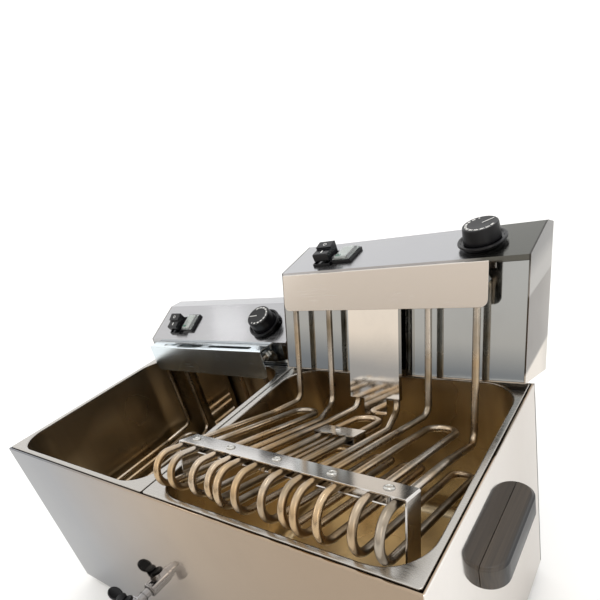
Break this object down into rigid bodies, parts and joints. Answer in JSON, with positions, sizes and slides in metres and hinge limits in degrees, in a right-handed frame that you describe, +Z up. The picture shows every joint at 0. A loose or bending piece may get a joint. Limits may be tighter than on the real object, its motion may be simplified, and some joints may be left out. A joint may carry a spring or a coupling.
{
  "type": "deep fryer",
  "caption": "Countertop electric deep fryer: rectangular steel housing with side-by-side oil tanks, lift-out heating heads with control panels, and front drain taps.",
  "frame": {"origin": "on the surface the feet stand on, under the middle of the object's bounding box", "axes": "+X to the fryer's right as its user sees it, +Y from the front taps towards the control heads, +Z up"},
  "size_m": [0.6174, 0.4374, 0.3942],
  "materials": {
    "base_plate": "satin stainless sheet",
    "foot_lb": "moulded rubber",
    "foot_lf": "moulded rubber",
    "foot_rb": "moulded rubber",
    "foot_rf": "moulded rubber",
    "housing_shell": "mirror-polished stainless sheet",
    "left_bulb_clip": "folded stainless strip",
    "left_cable_gland": "moulded black plastic",
    "left_control_cover": "fine brushed stainless sheet",
    "left_deflector": "satin stainless sheet",
    "left_element_1": "stainless-sheathed tube, heat-tinted",
    "left_element_2": "stainless-sheathed tube, heat-tinted",
    "left_element_3": "stainless-sheathed tube, heat-tinted",
    "left_element_clamp": "brushed stainless bar with rivets",
    "left_front_wall": "mirror-polished stainless sheet",
    "left_guard_plate": "polished stainless sheet",
    "left_handle": "moulded black plastic",
    "left_head_tray": "polished stainless sheet",
    "left_knob": "moulded black plastic with white marks",
    "left_knob_bezel": "moulded black plastic ring",
    "left_lamp_frame": "moulded black plastic",
    "left_lamp_lens": "clear moulded lens",
    "left_limiter_bulb": "drawn stainless tube",
    "left_rocker": "moulded black plastic with a white mark",
    "left_switch_frame": "moulded black plastic",
    "left_tank": "drawn stainless, satin, slightly heat-tinted",
    "left_tap_ball": "turned brass",
    "left_tap_body": "chrome-plated brass",
    "left_tap_handle": "moulded black plastic",
    "left_thermostat": "moulded body",
    "left_thermostat_bulb": "drawn stainless tube",
    "rear_panel": "satin stainless sheet",
    "right_bulb_clip": "folded stainless strip",
    "right_cable_gland": "moulded black plastic",
    "right_control_cover": "fine brushed stainless sheet",
    "right_deflector": "satin stainless sheet",
    "right_element_1": "stainless-sheathed tube, heat-tinted",
    "right_element_2": "stainless-sheathed tube, heat-tinted",
    "right_element_3": "stainless-sheathed tube, heat-tinted",
    "right_element_clamp": "brushed stainless bar with rivets",
    "right_front_wall": "mirror-polished stainless sheet",
    "right_guard_plate": "polished stainless sheet",
    "right_handle": "moulded black plastic",
    "right_head_tray": "polished stainless sheet",
    "right_knob": "moulded black plastic with white marks",
    "right_knob_bezel": "moulded black plastic ring",
    "right_lamp_frame": "moulded black plastic",
    "right_lamp_lens": "clear moulded lens",
    "right_limiter_bulb": "drawn stainless tube",
    "right_rocker": "moulded black plastic with a white mark",
    "right_switch_frame": "moulded black plastic",
    "right_tank": "drawn stainless, satin, slightly heat-tinted",
    "right_tap_ball": "turned brass",
    "right_tap_body": "chrome-plated brass",
    "right_tap_handle": "moulded black plastic",
    "right_thermostat": "moulded body",
    "right_thermostat_bulb": "drawn stainless tube"
  },
  "bodies": {
    "housing": {"housing_shell": "housing_shell", "rear_panel": "rear_panel", "base_plate": "base_plate", "foot_lf": "foot_lf", "foot_lb": "foot_lb", "foot_rf": "foot_rf", "foot_rb": "foot_rb", "left_tank": "left_tank", "right_tank": "right_tank", "left_handle": "left_handle", "right_handle": "right_handle", "left_tap_body": "left_tap_body", "right_tap_body": "right_tap_body"},
    "left_head": {"left_control_cover": "left_control_cover", "left_head_tray": "left_head_tray", "left_front_wall": "left_front_wall", "left_deflector": "left_deflector", "left_element_1": "left_element_1", "left_element_2": "left_element_2", "left_element_3": "left_element_3", "left_element_clamp": "left_element_clamp", "left_guard_plate": "left_guard_plate", "left_bulb_clip": "left_bulb_clip", "left_thermostat_bulb": "left_thermostat_bulb", "left_limiter_bulb": "left_limiter_bulb", "left_knob_bezel": "left_knob_bezel", "left_thermostat": "left_thermostat", "left_switch_frame": "left_switch_frame", "left_lamp_frame": "left_lamp_frame", "left_lamp_lens": "left_lamp_lens", "left_cable_gland": "left_cable_gland"},
    "left_knob": {"left_knob": "left_knob"},
    "left_rocker": {"left_rocker": "left_rocker"},
    "left_tap": {"left_tap_ball": "left_tap_ball", "left_tap_handle": "left_tap_handle"},
    "right_head": {"right_control_cover": "right_control_cover", "right_head_tray": "right_head_tray", "right_front_wall": "right_front_wall", "right_deflector": "right_deflector", "right_element_1": "right_element_1", "right_element_2": "right_element_2", "right_element_3": "right_element_3", "right_element_clamp": "right_element_clamp", "right_guard_plate": "right_guard_plate", "right_bulb_clip": "right_bulb_clip", "right_thermostat_bulb": "right_thermostat_bulb", "right_limiter_bulb": "right_limiter_bulb", "right_knob_bezel": "right_knob_bezel", "right_thermostat": "right_thermostat", "right_switch_frame": "right_switch_frame", "right_lamp_frame": "right_lamp_frame", "right_lamp_lens": "right_lamp_lens", "right_cable_gland": "right_cable_gland"},
    "right_knob": {"right_knob": "right_knob"},
    "right_rocker": {"right_rocker": "right_rocker"},
    "right_tap": {"right_tap_ball": "right_tap_ball", "right_tap_handle": "right_tap_handle"}
  },
  "joints": [
    {"name": "left_head_lift", "type": "slide", "parent": "housing", "child": "left_head", "axis": [0, 0, 1], "range_m": [0, 0.17]},
    {"name": "right_head_tip", "type": "hinge", "parent": "housing", "child": "right_head", "pos_m": [0.145, 0.112, 0.2495], "axis": [-1, 0, 0], "range_deg": [0, 16]},
    {"name": "left_knob_turn", "type": "hinge", "parent": "left_head", "child": "left_knob", "pos_m": [-0.0538, 0.13858, 0.29503], "axis": [0, -0.4749, 0.8801], "range_deg": [-37, 263]},
    {"name": "left_rocker_tip", "type": "hinge", "parent": "left_head", "child": "left_rocker", "pos_m": [-0.2337, 0.13828, 0.29033], "axis": [-1, 0, 0], "range_deg": [0, 12]},
    {"name": "left_tap_turn", "type": "hinge", "parent": "housing", "child": "left_tap", "pos_m": [-0.123, -0.1775, 0.043], "axis": [0, 0, 1], "range_deg": [0, 90]},
    {"name": "right_knob_turn", "type": "hinge", "parent": "right_head", "child": "right_knob", "pos_m": [0.2362, 0.15955, 0.37112], "axis": [0, -0.1762, 0.9843], "range_deg": [-255, 45]},
    {"name": "right_rocker_tip", "type": "hinge", "parent": "right_head", "child": "right_rocker", "pos_m": [0.0563, 0.1578, 0.36674], "axis": [-1, 0, 0], "range_deg": [0, 12]},
    {"name": "right_tap_turn", "type": "hinge", "parent": "housing", "child": "right_tap", "pos_m": [0.167, -0.1775, 0.043], "axis": [0, 0, 1], "range_deg": [0, 90]}
  ]
}
